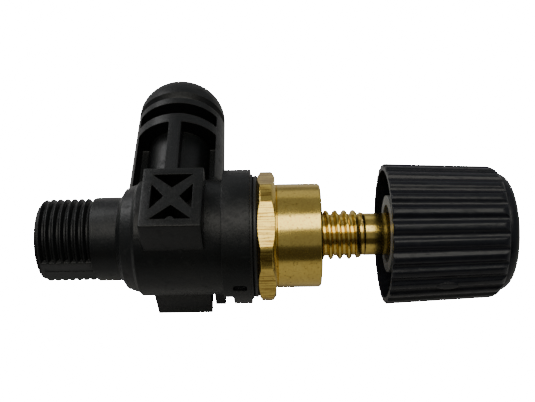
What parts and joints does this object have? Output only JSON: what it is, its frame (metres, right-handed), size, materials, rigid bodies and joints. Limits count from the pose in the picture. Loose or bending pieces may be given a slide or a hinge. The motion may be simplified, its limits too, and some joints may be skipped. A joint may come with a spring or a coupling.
{
  "type": "flow control valve",
  "caption": "Angle-pattern screw-down flow control valve: moulded threaded inlet body with side outlet spigot, brass bonnet, rising stem and fluted knob.",
  "frame": {"origin": "centre of the inlet bore at the inlet end face", "axes": "+X along the valve axis from the inlet to the knob, +Y along the outlet branch, +Z out of the upper wrench pad"},
  "size_m": [0.1187, 0.0692, 0.0384],
  "materials": {
    "body_nylon": "glass-filled nylon, moulded, fine satin speckle",
    "knob_nylon": "moulded nylon, semi-gloss, lightly scratched",
    "machined_brass": "turned, bright, fine tool marks",
    "seal_rubber": "nitrile rubber, satin black",
    "white_ptfe": "skived PTFE, matte white",
    "zinc_casting": "die-cast zinc, light grey, matte",
    "spring_steel": "stainless steel, bright",
    "black_steel": "blackened spring steel"
  },
  "bodies": {
    "valve_housing": {"valve_body": "body_nylon", "seat_insert": "machined_brass", "seat_o_ring": "seal_rubber", "bonnet": "machined_brass", "bonnet_gasket": "seal_rubber", "bonnet_o_ring": "seal_rubber", "stem_inner_o_ring": "seal_rubber", "stem_backup_ring": "white_ptfe", "stem_outer_o_ring": "seal_rubber"},
    "plug": {"plug_carrier": "machined_brass", "plug_washer": "seal_rubber", "plug_washer_plate": "spring_steel", "plug_screw": "spring_steel", "swivel_clip": "spring_steel"},
    "knob_and_stem": {"stem": "machined_brass", "stem_stop_clip": "spring_steel", "knob_insert": "zinc_casting", "knob_shell": "knob_nylon", "knob_screw": "spring_steel", "knob_screw_washer": "spring_steel", "knob_cap": "knob_nylon", "star_lock_washer": "black_steel"}
  },
  "joints": [
    {"name": "plug_travel", "type": "slide", "parent": "valve_housing", "child": "plug", "axis": [1, 0, 0], "range_m": [-0.005, 0.003]},
    {"name": "knob_turn", "type": "hinge", "parent": "plug", "child": "knob_and_stem", "pos_m": [0.1, 0, 0], "axis": [1, 0, 0], "range_deg": [-779.6, 467.8]}
  ],
  "couplings": [
    {"joint": "knob_turn", "follows": "plug_travel", "rad_per_m": 2721.2}
  ]
}
